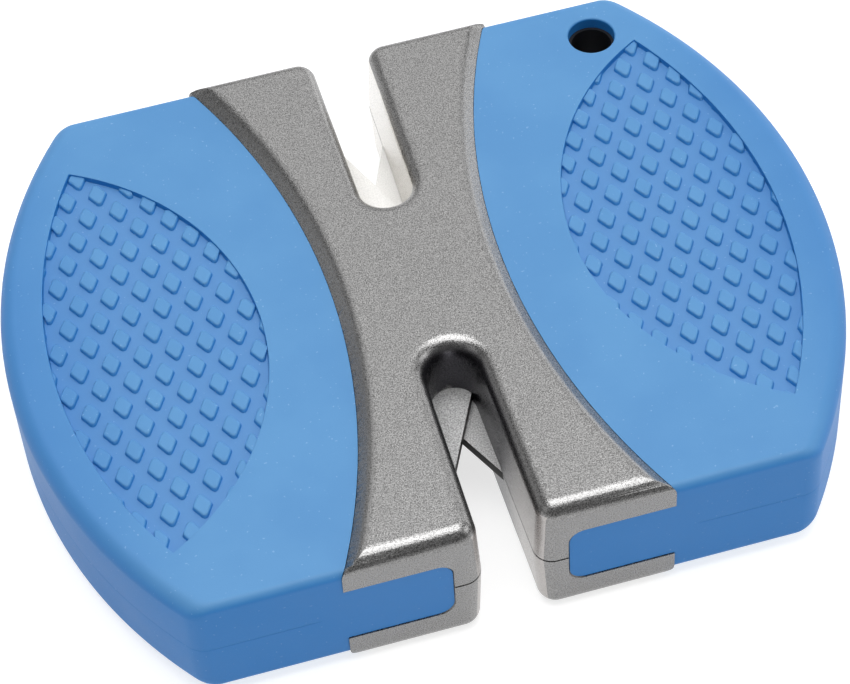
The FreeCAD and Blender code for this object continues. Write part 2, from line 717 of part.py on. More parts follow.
def make_wings():
    """Core and grip of both wings, in place. Only the right wing has the lanyard hole."""
    cores = {"left": make_core("plain_core")}
    grips = {"left": make_grip()}
    for kind, items, radius in (("core", cores, "hole_core_radius"), ("grip", grips, "hole_grip_radius")):
        drilled = join("Part::Cut", f"drilled_{kind}", Base=items["left"], Tool=make_drill(radius), Refine=False)
        items["right"] = drilled
    pieces = {}
    for kind, items in (("core", cores), ("grip", grips)):
        for side in SIDES:
            name = f"{side}_{kind}"
            pieces[name] = join("Part::Compound", name, Links=[items[side]])
            put_at_seam(pieces[name], half_turn=side == "left")
    return pieces


# Plates and screws --------------------------------------------------------------------------------------

def make_plate(name, end, kind, flipped):
    """A flat plate that lies on the seam, on its upper side, or turned over on its lower side."""
    body = new_body(name)
    plan = plate_sketch(body, "plate_plan", end, kind, "")
    pad(body, "plate", plan, f"{kind}_t")
    put_at_seam(body, flipped)
    return body


def make_screw(name, side, end):
    """A self-tapping case screw, its head seated in a counterbore of the underside."""
    body = new_body(name)
    profile = new_sketch(body, "profile", plane_role="XZ_Plane")
    add_polygon(profile, [
        (None, "-screw_head_t"),
        ("screw_head_radius", "-screw_head_t"),
        ("screw_head_radius", None),
        ("screw_core_radius", None),
        ("screw_core_radius", "screw_shank"),
        ("screw_tip_radius", "screw_length"),
        (None, "screw_length"),
    ])
    turned = body.newObject("PartDesign::Revolution", "turned")
    turned.Profile = profile
    turned.ReferenceAxis = (profile, ["V_Axis"])
    doc.recompute()
    bind(body, "Placement.Base.x", toward(side, "screw_x"))
    bind(body, "Placement.Base.y", toward(end, "screw_y"))
    bind(body, "Placement.Base.z", "counterbore_depth")
    return body


# Assembly -----------------------------------------------------------------------------------------------

def make_pieces():
    """Every piece of the sharpener by its node's name."""
    pieces = {
        "upper_cover": make_cover("upper_cover", flipped=False),
        "lower_cover": make_cover("lower_cover", flipped=True),
    }
    pieces.update(make_wings())
    for side in SIDES:
        for end, kind in (("front", "carbide"), ("back", "stone")):
            name = f"{side}_{kind}"
            pieces[name] = make_plate(name, end, kind, flipped=side == "right")
        for end in ENDS:
            name = f"case_screw_{end}_{side}"
            pieces[name] = make_screw(name, side, end)
    for name, piece in pieces.items():
        piece.Label = name
    return pieces


def check(pieces):
    """Stop at a failed object, or at a piece that isn't one valid solid."""
    failed = [item.Name for item in doc.Objects if {"Invalid", "Error"} & set(item.State)]
    broken = [name for name, piece in pieces.items()
              if piece.Shape.isNull() or not piece.Shape.isValid() or len(piece.Shape.Solids) != 1]
    if failed or broken:
        raise RuntimeError(f"failed: {failed}, not one valid solid: {broken}")


def main():
    """Build, check and write every piece."""
    pieces = make_pieces()
    doc.recompute()
    check(pieces)
    os.makedirs("parts", exist_ok=True)
    for name, piece in pieces.items():
        piece.Shape.exportStep(f"parts/{name}.step")
        print(f"{name}: {piece.Shape.Volume:.1f} mm3")


main()
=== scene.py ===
"""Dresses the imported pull-through sharpener: rubber wings, painted covers, plates, screws, studio."""
import logging
import math
from collections.abc import Callable, Iterable, Sequence
from dataclasses import dataclass, field
from enum import Enum

import bmesh
import bpy
from mathutils import Matrix, Vector


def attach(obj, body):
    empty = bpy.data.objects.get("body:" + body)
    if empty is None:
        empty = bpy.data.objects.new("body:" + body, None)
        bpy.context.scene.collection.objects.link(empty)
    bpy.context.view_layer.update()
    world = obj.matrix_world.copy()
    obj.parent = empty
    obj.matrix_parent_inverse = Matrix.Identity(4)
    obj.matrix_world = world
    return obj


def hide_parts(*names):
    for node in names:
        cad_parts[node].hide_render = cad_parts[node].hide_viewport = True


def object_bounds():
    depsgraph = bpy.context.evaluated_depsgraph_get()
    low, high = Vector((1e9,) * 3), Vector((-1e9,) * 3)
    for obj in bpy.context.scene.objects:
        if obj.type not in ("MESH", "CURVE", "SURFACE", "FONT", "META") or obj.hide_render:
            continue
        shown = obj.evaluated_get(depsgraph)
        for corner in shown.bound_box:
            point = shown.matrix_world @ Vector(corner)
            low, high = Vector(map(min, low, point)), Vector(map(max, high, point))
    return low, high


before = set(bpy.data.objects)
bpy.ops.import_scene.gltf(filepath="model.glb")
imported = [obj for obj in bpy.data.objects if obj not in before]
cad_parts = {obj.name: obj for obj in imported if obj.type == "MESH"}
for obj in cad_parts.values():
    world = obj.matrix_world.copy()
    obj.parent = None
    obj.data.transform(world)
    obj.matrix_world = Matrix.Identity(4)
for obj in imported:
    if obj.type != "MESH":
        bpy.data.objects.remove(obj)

CAD_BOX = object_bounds()
MM = 0.001
ROOT = "root"
MERGE_DISTANCE = 0.0005 * MM
log = logging.getLogger("sharpener")

Point2 = tuple[float, float]
Point3 = tuple[float, float, float]
Colour = tuple[float, float, float, float]
Ring = list[bmesh.types.BMVert]
Change = Callable[[bmesh.types.BMesh], None]
WHITE: Colour = (1.0, 1.0, 1.0, 1.0)


class Side(Enum):
    """The two wings, with the turn about Z that brings the right wing's shape to each."""

    LEFT = math.pi
    RIGHT = 0.0

    @property
    def word(self) -> str:
        """The side's name as the nodes spell it."""
        return self.name.lower()


class Slot(Enum):
    """The record's material slots."""

    COVER = "cover_grey"
    GRIP = "grip_blue"
    CORE = "core_black"
    CARBIDE = "carbide"
    CERAMIC = "ceramic_white"
    SCREW = "screw_steel"


# Node trees -----------------------------------------------


class Graph:
    """Builds one node tree, of a material, a world or a geometry group."""

    def __init__(self, tree: bpy.types.NodeTree) -> None:
        """Start on a tree, without the nodes it came with."""
        self.tree = tree
        tree.nodes.clear()

    def node(self, kind: str, settings: dict | None = None, inputs: dict | None = None) -> bpy.types.Node:
        """Add a node.

        Args:
            kind: The node's type.
            settings: Its properties.
            inputs: Values or links by socket name or number.

        Returns:
            The new node.
        """
        node = self.tree.nodes.new(kind)
        for name, setting in (settings or {}).items():
            setattr(node, name, setting)
        for key, item in (inputs or {}).items():
            self.feed(node.inputs[key], item)
        return node

    def feed(self, socket: bpy.types.NodeSocket, item: object) -> None:
        """Link a wire or set a value.

        Args:
            socket: The input socket.
            item: A Wire, an output socket or a plain value.
        """
        if isinstance(item, Wire):
            item = item.socket
        if isinstance(item, bpy.types.NodeSocket):
            self.tree.links.new(item, socket)
        else:
            socket.default_value = item

    def wire(self, kind: str, output: str | int = 0, settings: dict | None = None,
             inputs: dict | None = None) -> "Wire":
        """Add a node, as node does, and wrap the output of that name or number."""
        return Wire(self, self.node(kind, settings, inputs).outputs[output])

    def maths(self, operation: str, first: object, second: object = 0.0) -> "Wire":
        """One Math node on two operands."""
        return self.wire("ShaderNodeMath", 0, {"operation": operation}, {0: first, 1: second})

    def axis(self, vector: object, name: str) -> "Wire":
        """One coordinate of a vector."""
        return self.wire("ShaderNodeSeparateXYZ", name, inputs={0: vector})

    def level(self) -> "Wire":
        """How level the surface lies, from 0 where it is upright to 1."""
        return self.axis(self.wire("ShaderNodeTexCoord", "Normal"), "Z").size()

    def in_plan(self, x: object, y: object) -> tuple["Wire", "Wire"]:
        """The vector of two coordinates in plan, and its length."""
        vector = self.wire("ShaderNodeCombineXYZ", inputs={"X": x, "Y": y})
        return vector, self.wire("ShaderNodeVectorMath", "Value", {"operation": "LENGTH"}, {0: vector})

    def noise(self, where: object, size: float, detail: float = 2.0) -> "Wire":
        """Noise about 0.5, with features of a size in metres and so many octaves."""
        inputs = {"Vector": where, "Scale": 1.0 / size, "Detail": detail}
        return self.wire("ShaderNodeTexNoise", "Fac", inputs=inputs)

    def blend(self, factor: object, low: object, high: object) -> "Wire":
        """Mix two colours, by a factor of 0 for the low one and 1 for the high one."""
        return self.wire("ShaderNodeMix", 2, {"data_type": "RGBA"}, {0: factor, 6: low, 7: high})

    def ramp(self, value: object, low: float, high: float) -> "Wire":
        """Stretch the span of a value from low to high to 0..1, smoothly and clamped."""
        return self.wire("ShaderNodeMapRange", "Result", {"interpolation_type": "SMOOTHSTEP"},
                         {"Value": value, "From Min": low, "From Max": high})


class Wire:
    """A value on its way through a tree, with Python's operators."""

    def __init__(self, graph: Graph, socket: bpy.types.NodeSocket) -> None:
        """Wrap an output socket of a graph."""
        self.graph = graph
        self.socket = socket

    def __add__(self, other: object) -> "Wire":
        """Add."""
        return self.graph.maths("ADD", self, other)

    __radd__ = __add__

    def __sub__(self, other: object) -> "Wire":
        """Subtract."""
        return self.graph.maths("SUBTRACT", self, other)

    def __rsub__(self, other: object) -> "Wire":
        """Subtract from a number."""
        return self.graph.maths("SUBTRACT", other, self)

    def __mul__(self, other: object) -> "Wire":
        """Multiply."""
        return self.graph.maths("MULTIPLY", self, other)

    def __truediv__(self, other: object) -> "Wire":
        """Divide."""
        return self.graph.maths("DIVIDE", self, other)

    def __gt__(self, other: object) -> "Wire":
        """1 where the wire is the greater."""
        return self.graph.maths("GREATER_THAN", self, other)

    def size(self) -> "Wire":
        """The absolute value."""
        return self.graph.maths("ABSOLUTE", self)


def start_group(name: str, wanted: dict[str, str]) -> tuple[Graph, dict[str, Wire]]:
    """Start a geometry group.

    Args:
        name: Its name.
        wanted: The kind of each named input.

    Returns:
        The group's graph, and its inputs by name.
    """
    tree = bpy.data.node_groups.new(name, "GeometryNodeTree")
    for label, kind in wanted.items():
        tree.interface.new_socket(label, in_out="INPUT", socket_type=f"NodeSocket{kind}")
    tree.interface.new_socket("Geometry", in_out="OUTPUT", socket_type="NodeSocketGeometry")
    graph = Graph(tree)
    given = graph.node("NodeGroupInput").outputs
    return graph, {label: Wire(graph, given[label]) for label in wanted}


def end_group(graph: Graph, parts: object, finish: Wire) -> bpy.types.NodeTree:
    """Realize a group's instances, give them a finish and send them out.

    Args:
        graph: The group's graph.
        parts: The geometry.
        finish: The input that holds the material.

    Returns:
        The group.
    """
    real = graph.wire("GeometryNodeRealizeInstances", inputs={0: parts})
    done = graph.wire("GeometryNodeSetMaterial", inputs={"Geometry": real, "Material": finish})
    graph.node("NodeGroupOutput", inputs={"Geometry": done})
    return graph.tree


# Finishes -------------------------------------------------


@dataclass(frozen=True)
class Finish:
    """A finish that every solid surface has: a name, a colour and how rough it is."""

    name: str = "finish"
    colour: Colour = (0.5, 0.5, 0.5, 1.0)
    roughness: float = 0.5
    metallic: float = 0.0
    specular: float = 0.5

    def material(self) -> bpy.types.Material:
        """The finish's material, made once.

        Returns:
            The material.
        """
        known = bpy.data.materials.get(self.name)
        if known:
            return known
        material = bpy.data.materials.new(self.name)
        material.use_nodes = True
        graph = Graph(material.node_tree)
        shader = graph.node("ShaderNodeBsdfPrincipled", inputs={
            "Base Color": self.colour, "Roughness": self.roughness, "Metallic": self.metallic,
            "Specular IOR Level": self.specular})
        graph.node("ShaderNodeOutputMaterial", inputs={"Surface": shader.outputs[0]})
        where = graph.wire("ShaderNodeTexCoord", "Object")
        self.detail(graph, shader, where)
        material.diffuse_color = self.colour
        return material

    def detail(self, graph: Graph, shader: bpy.types.Node, where: Wire) -> None:
        """What varies over the surface; nothing on the plain finish.

        Args:
            graph: The material's graph.
            shader: Its Principled node.
            where: Object coordinates.
        """

    @staticmethod
    def emboss(graph: Graph, shader: bpy.types.Node, height: Wire, depth: float) -> None:
        """Feed a relief of 0..1, of a depth in metres, to the shader's normal."""
        bump = graph.node("ShaderNodeBump", inputs={"Height": height, "Distance": depth, "Strength": 1.0})
        graph.feed(shader.inputs["Normal"], bump.outputs[0])


@dataclass(frozen=True)
class PewterPaint(Finish):
    """Metallic paint on the covers, satin, over a fine moulded grain."""

    name: str = "pewter_paint"
    colour: Colour = (0.235, 0.233, 0.232, 1.0)
    roughness: float = 0.28
    metallic: float = 0.9
    flake: Colour = (0.42, 0.417, 0.415, 1.0)
    pit: Colour = (0.055, 0.0545, 0.054, 1.0)
    # Painted shade: near black at the front slot's closed end, over its wall and rounded rim.
    bare: Colour = (0.07, 0.068, 0.078, 1.0)
    # Painted reflection on the slots' walls: lighter behind, less so in front.
    powder: Colour = (0.72, 0.70, 0.67, 1.0)
    rubbed: Colour = (0.42, 0.4, 0.39, 1.0)
    slot_half: float = 8.6 * MM
    slot_mouth: float = 30.8 * MM
    upright: float = 0.35
    slot_end: float = 12.0 * MM
    slot_reach: Point2 = (7.0 * MM, 15.0 * MM)
    end_levels: Point2 = (0.25, 0.97)
    grain: float = 0.11 * MM
    wave: float = 0.75 * MM
    depth: float = 0.02 * MM

    def detail(self, graph: Graph, shader: bpy.types.Node, where: Wire) -> None:
        """Flakes and grain; painted reflection on the slots' walls, painted shade at the front slot's end."""
        grain = graph.noise(where, self.grain)
        wave = graph.noise(where, self.wave, 1.0)
        across, along = graph.axis(where, "X"), graph.axis(where, "Y")
        level = graph.level()
        speckle = graph.blend(graph.ramp(grain, 0.25, 0.75), self.pit, self.flake)
        colour = graph.blend(level * 0.4 + 0.4, self.colour, speckle)
        front = 0.0 - along > 0.0
        walls = self._walls(across, along, level)
        # Painted reflection lightens the slots' walls.
        colour = graph.blend(walls, colour, graph.blend(front, self.powder, self.rubbed))
        # Painted shade darkens the front slot's closed end, fading out on level tops.
        ends = self._ends(graph, across, along) * (1.0 - graph.ramp(level, *self.end_levels)) * front
        colour = graph.blend(ends, colour, self.bare)
        graph.feed(shader.inputs["Base Color"], colour)
        graph.feed(shader.inputs["Roughness"], self.roughness + (grain - 0.5) * 0.3)
        self.emboss(graph, shader, grain * 0.75 + wave * 0.5, self.depth)

    def _ends(self, graph: Graph, across: Wire, along: Wire) -> Wire:
        """How near a place is to a slot's closed end, 0..1, which sets the painted shade there."""
        _, distance = graph.in_plan(across, along.size() - self.slot_end)
        return 1.0 - graph.ramp(distance, *self.slot_reach)

    def _walls(self, across: Wire, along: Wire, level: Wire) -> Wire:
        """1 on the slots' walls, upright near the middle and short of the end faces, where painted reflection
        goes.
        """
        inside = (self.slot_half - across.size() > 0.0) * (self.slot_mouth - along.size() > 0.0)
        return inside * (self.upright - level > 0.0)


@dataclass(frozen=True)
class BlueRubber(Finish):
    """Matt blue rubber with a faint bloom, a little dust, painted sheen and painted shade."""

    name: str = "blue_rubber"
    colour: Colour = (0.071, 0.227, 0.466, 1.0)
    roughness: float = 0.5
    specular: float = 0.3
    bloom: Colour = (0.084, 0.249, 0.489, 1.0)
    dust: Colour = (0.32, 0.5, 0.7, 1.0)
    # Painted shade: the leaves' floors a little darker than the faces.
    sunk: Colour = (0.074, 0.217, 0.466, 1.0)
    # Upright faces take this colour; the lighter, whiter colour of level faces is a painted sheen.
    clean: Colour = (0.018, 0.186, 0.515, 1.0)
    # Painted shade, darker toward the wings' outer sides.
    worn: Colour = (0.019, 0.145, 0.41, 1.0)
    handled: Point2 = (27.0 * MM, 41.0 * MM)
    face: float = 6.15 * MM
    middle: float = 7.8 * MM
    flat: float = 0.97
    cloud: float = 9.0 * MM
    grain: float = 0.14 * MM
    mote: float = 0.28 * MM
    depth: float = 0.006 * MM

    def detail(self, graph: Graph, shader: bpy.types.Node, where: Wire) -> None:
        """Clouded colour, painted sheen on level faces, painted shade on leaf floors and outer sides, dust,
        grain.
        """
        cloud = graph.noise(where, self.cloud, 3.0)
        grain = graph.noise(where, self.grain)
        mote = graph.ramp(graph.noise(where, self.mote, 0.0), 0.8, 0.86)
        body = graph.blend(graph.ramp(cloud, 0.3, 0.7), self.colour, self.bloom)
        level = graph.level()
        # Painted sheen: level faces keep the lighter body colour, upright faces lose it.
        body = graph.blend(graph.ramp(level, 0.2, 0.95), self.clean, body)
        # Painted shade on the leaves' floors.
        body = graph.blend(self._sunk(graph.axis(where, "Z"), level), body, self.sunk)
        # Painted shade toward the outer sides.
        outer = graph.ramp(graph.axis(where, "X").size(), *self.handled)
        body = graph.blend(outer * 0.5, body, self.worn)
        graph.feed(shader.inputs["Base Color"], graph.blend(mote * 0.3, body, self.dust))
        graph.feed(shader.inputs["Roughness"], self.roughness + (cloud - 0.5) * 0.2 + (grain - 0.5) * 0.1)
        self.emboss(graph, shader, grain, self.depth)

    def _sunk(self, height: Wire, level: Wire) -> Wire:
        """1 on the leaves' floors, the level surfaces below the wings' faces, which take painted shade."""
        return (level > self.flat) * (self.face - (height - self.middle).size() > 0.0)


@dataclass(frozen=True)
class Grained(Finish):
    """A plain finish with a fine grain, as the cores' plastic and the screws' plating have."""

    grain: float = 0.2 * MM
    depth: float = 0.008 * MM
    uneven: float = 0.2

    def detail(self, graph: Graph, shader: bpy.types.Node, where: Wire) -> None:
        """A fine grain that also varies how rough the surface is."""
        grain = graph.noise(where, self.grain)
        graph.feed(shader.inputs["Roughness"], self.roughness + (grain - 0.5) * self.uneven)
        self.emboss(graph, shader, grain, self.depth)


@dataclass(frozen=True)
class SinteredPlate(Finish):
    """A sintered plate: speckled faces, and upright edges darkened by painted shade."""

    name: str = "sintered_carbide"
    colour: Colour = (0.62, 0.62, 0.62, 1.0)
    roughness: float = 0.5
    metallic: float = 0.25
    pit: Colour = (0.25, 0.25, 0.25, 1.0)
    # Painted shade on the plates' upright edges.
    edge: Colour = (0.018, 0.017, 0.016, 1.0)
    grain: float = 0.13 * MM
    depth: float = 0.012 * MM

    def detail(self, graph: Graph, shader: bpy.types.Node, where: Wire) -> None:
        """Speckle on the faces, and the edge colour, painted shade, where the surface stands upright."""
        grain = graph.noise(where, self.grain, 3.0)
        face = graph.level() > 0.5
        sand = graph.blend(graph.ramp(grain, 0.3, 0.7), self.pit, self.colour)
        # Upright faces take the edge colour, a painted shade.
        graph.feed(shader.inputs["Base Color"], graph.blend(face, self.edge, sand))
        graph.feed(shader.inputs["Roughness"], self.roughness + (grain - 0.5) * 0.2)
        self.emboss(graph, shader, grain, self.depth)


@dataclass(frozen=True)
class LitFloor(Finish):
    """The pale floor, lit a little from underneath, as a light table is."""

    name: str = "pale_floor"
    colour: Colour = (0.45, 0.45, 0.45, 1.0)
    roughness: float = 0.9
    specular: float = 0.1
    glow: float = 0.72

    def detail(self, graph: Graph, shader: bpy.types.Node, where: Wire) -> None:
        """The light from underneath."""
        graph.feed(shader.inputs["Emission Color"], WHITE)
        graph.feed(shader.inputs["Emission Strength"], self.glow)


PAINT = PewterPaint()
RUBBER = BlueRubber()
PLASTIC = Grained(name="black_plastic", colour=(0.012, 0.012, 0.014, 1.0), roughness=0.45, specular=0.25)
CARBIDE = SinteredPlate()
# The stones' edges, a little darker, are painted shade too.
CERAMIC = SinteredPlate(name="fine_ceramic", colour=(0.7, 0.695, 0.675, 1.0), roughness=0.45, metallic=0.0,
                        pit=(0.84, 0.83, 0.81, 1.0), edge=(0.68, 0.67, 0.65, 1.0), depth=0.004 * MM)
ZINC = Grained(name="zinc_steel", colour=(0.55, 0.55, 0.57, 1.0), roughness=0.32, metallic=1.0,
               grain=0.3 * MM, depth=0.006 * MM, uneven=0.25)
FLOOR = LitFloor()


# Meshes ---------------------------------------------------


def as_object(name: str, mesh: bpy.types.Mesh, finish: Finish) -> bpy.types.Object:
    """Put a mesh in the scene at the origin.

    Args:
        name: The object's name.
        mesh: The mesh.
        finish: Its finish.

    Returns:
        The object.
    """
    item = bpy.data.objects.new(name, mesh)
    bpy.context.scene.collection.objects.link(item)
    mesh.materials.clear()
    mesh.materials.append(finish.material())
    return item


def settle(item: bpy.types.Object) -> bpy.types.Object:
    """Turn an object's modifiers into a plain mesh.

    Args:
        item: The object.

    Returns:
        The same object, with no modifiers.
    """
    bpy.context.view_layer.update()
    seen = item.evaluated_get(bpy.context.evaluated_depsgraph_get())
    mesh = bpy.data.meshes.new_from_object(seen)
    mesh.name = item.name
    item.modifiers.clear()
    item.data = mesh
    return item


def smooth(item: bpy.types.Object, angle: float = 32.0) -> bpy.types.Object:
    """Shade smoothly between sharp edges, with flat faces kept flat.

    Args:
        item: The object.
        angle: The angle between faces, in degrees, from which an edge is sharp.

    Returns:
        The same object.
    """
    item.data.shade_smooth()
    item.data.set_sharp_from_angle(angle=math.radians(angle))
    weigh = item.modifiers.new("weigh", "WEIGHTED_NORMAL")
    weigh.keep_sharp = True
    return settle(item)


def declare(item: bpy.types.Object, slot: Slot, *nodes: str) -> None:
    """Report a finished piece, let it ride on the root and name the nodes it stands for.

    Args:
        item: The piece.
        slot: The material slot; not used.
        nodes: CAD nodes that it replaces.
    """
    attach(item, ROOT)
    if nodes:
        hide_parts(*nodes)
    log.info("%s: %d faces, stands for %s", item.name, len(item.data.polygons), ", ".join(nodes) or "no node")


def dress_node(node: str, finish: Finish, slot: Slot, change: Change | None = None,
               cutter: bpy.types.Mesh | None = None, word: str = "surface", flat: float = 0.001) -> None:
    """Replace a CAD node by a merged, smoothly shaded copy of its own mesh.

    Args:
        node: The CAD node.
        finish: The copy's finish.
        slot: Its material slot.
        change: A change to make to the merged mesh.
        cutter: A closed mesh whose space is taken off the copy.
        word: What the copy's name says after the node's.
        flat: The angle in radians under which two faces become one.
    """
    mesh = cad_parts[node].data.copy()
    body = bmesh.new()
    body.from_mesh(mesh)
    bmesh.ops.remove_doubles(body, verts=body.verts, dist=MERGE_DISTANCE)
    bmesh.ops.dissolve_limit(body, angle_limit=flat, verts=body.verts, edges=body.edges)
    if change:
        change(body)
    body.to_mesh(mesh)
    body.free()
    item = as_object(f"{node}_{word}", mesh, finish)
    if cutter:
        combine(item, as_object("cutter", cutter, finish), "DIFFERENCE")
    declare(smooth(item), slot, node)


def run_group(name: str, group: bpy.types.NodeTree, finish: Finish, given: dict) -> bpy.types.Object:
    """Make a plain mesh of what a geometry group gives.

    Args:
        name: The object's name.
        group: The group.
        finish: The finish, for its input of that name.
        given: Its other inputs by name.

    Returns:
        The object.
    """
    item = as_object(name, bpy.data.meshes.new(name), finish)
    modifier = item.modifiers.new(group.name, "NODES")
    modifier.node_group = group
    given = {**given, "Finish": finish.material()}
    for socket in group.interface.items_tree:
        if socket.in_out == "INPUT":
            modifier[socket.identifier] = given[socket.name]
    return settle(item)


def combine(item: bpy.types.Object, other: bpy.types.Object, operation: str) -> None:
    """Add one object to another or take it off, and remove it.

    Args:
        item: The object that stays.
        other: The object that goes.
        operation: "UNION" or "DIFFERENCE".
    """
    modifier = item.modifiers.new("combine", "BOOLEAN")
    modifier.operation, modifier.solver, modifier.object = operation, "EXACT", other
    settle(item)
    bpy.data.objects.remove(other)


def arc(centre: Point2, radius: float, start: float, end: float, count: int) -> list[Point2]:
    """Points along an arc, both ends included.

    Args:
        centre: Its centre.
        radius: Its radius.
        start: The angle at its start, in radians.
        end: The angle at its end.
        count: How many spans.

    Returns:
        The points.
    """
    angles = [start + (end - start) * i / count for i in range(count + 1)]
    return [(centre[0] + radius * math.cos(a), centre[1] + radius * math.sin(a)) for a in angles]


class Shell:
    """A mesh in millimetres about the wing's middle plane, made from rings."""

    def __init__(self) -> None:
        """Start with nothing."""
        self.body = bmesh.new()

    def ring(self, points: Iterable[Point3]) -> Ring:
        """Add the vertices of a ring."""
        return [self.body.verts.new(point) for point in points]

    def stack(self, rings: Sequence[Ring], capped: bool = False) -> None:
        """Join closed rings by quads, each to the one after it.

        Args:
            rings: The rings, with as many vertices each.
            capped: Whether a face closes either end.
        """
        for low, high in zip(rings, rings[1:]):
            for i, corner in enumerate(low):
                following = (i + 1) % len(low)
                self.body.faces.new((corner, low[following], high[following], high[i]))
        if capped:
            self.body.faces.new(rings[0])
            self.body.faces.new(rings[-1])

    def fill(self, rings: Sequence[Ring]) -> None:
        """Fill a flat region.

        Args:
            rings: Its outer ring and the holes in it.
        """
        edges = []
        for ring in rings:
            for i, corner in enumerate(ring):
                pair = (corner, ring[(i + 1) % len(ring)])
                edges.append(self.body.edges.get(pair) or self.body.edges.new(pair))
        bmesh.ops.triangle_fill(self.body, edges=edges, use_beauty=True, use_dissolve=False)

    def finish(self, name: str, scale: float = 1.0) -> bpy.types.Mesh:
        """Turn the faces outwards and end the shell.

        Args:
            name: The mesh's name.
            scale: What the mesh is scaled by.

        Returns:
            The mesh.
        """
        bmesh.ops.recalc_face_normals(self.body, faces=self.body.faces)
        mesh = bpy.data.meshes.new(name)
        self.body.to_mesh(mesh)
        self.body.free()
        mesh.transform(Matrix.Scale(scale, 4))
        return mesh


def inset_ring(points: Sequence[Point2], inset: float) -> list[Point2]:
    """Move each point of an anticlockwise loop inward along its mitre.

    Args:
        points: The loop.
        inset: How far in.

    Returns:
        The moved points.
    """
    moved = []
    for i, (x, y) in enumerate(points):
        before, after = Vector(points[i - 1]), Vector(points[(i + 1) % len(points)])
        here = Vector((x, y))
        first, second = (here - before).normalized(), (after - here).normalized()
        normal = Vector((-first.y - second.y, first.x + second.x)).normalized()
        stretch = 1.0 / max(0.5, normal.dot(Vector((-first.y, first.x))))
        moved.append((x + normal.x * inset * stretch, y + normal.y * inset * stretch))
    return moved


# The wings ------------------------------------------------


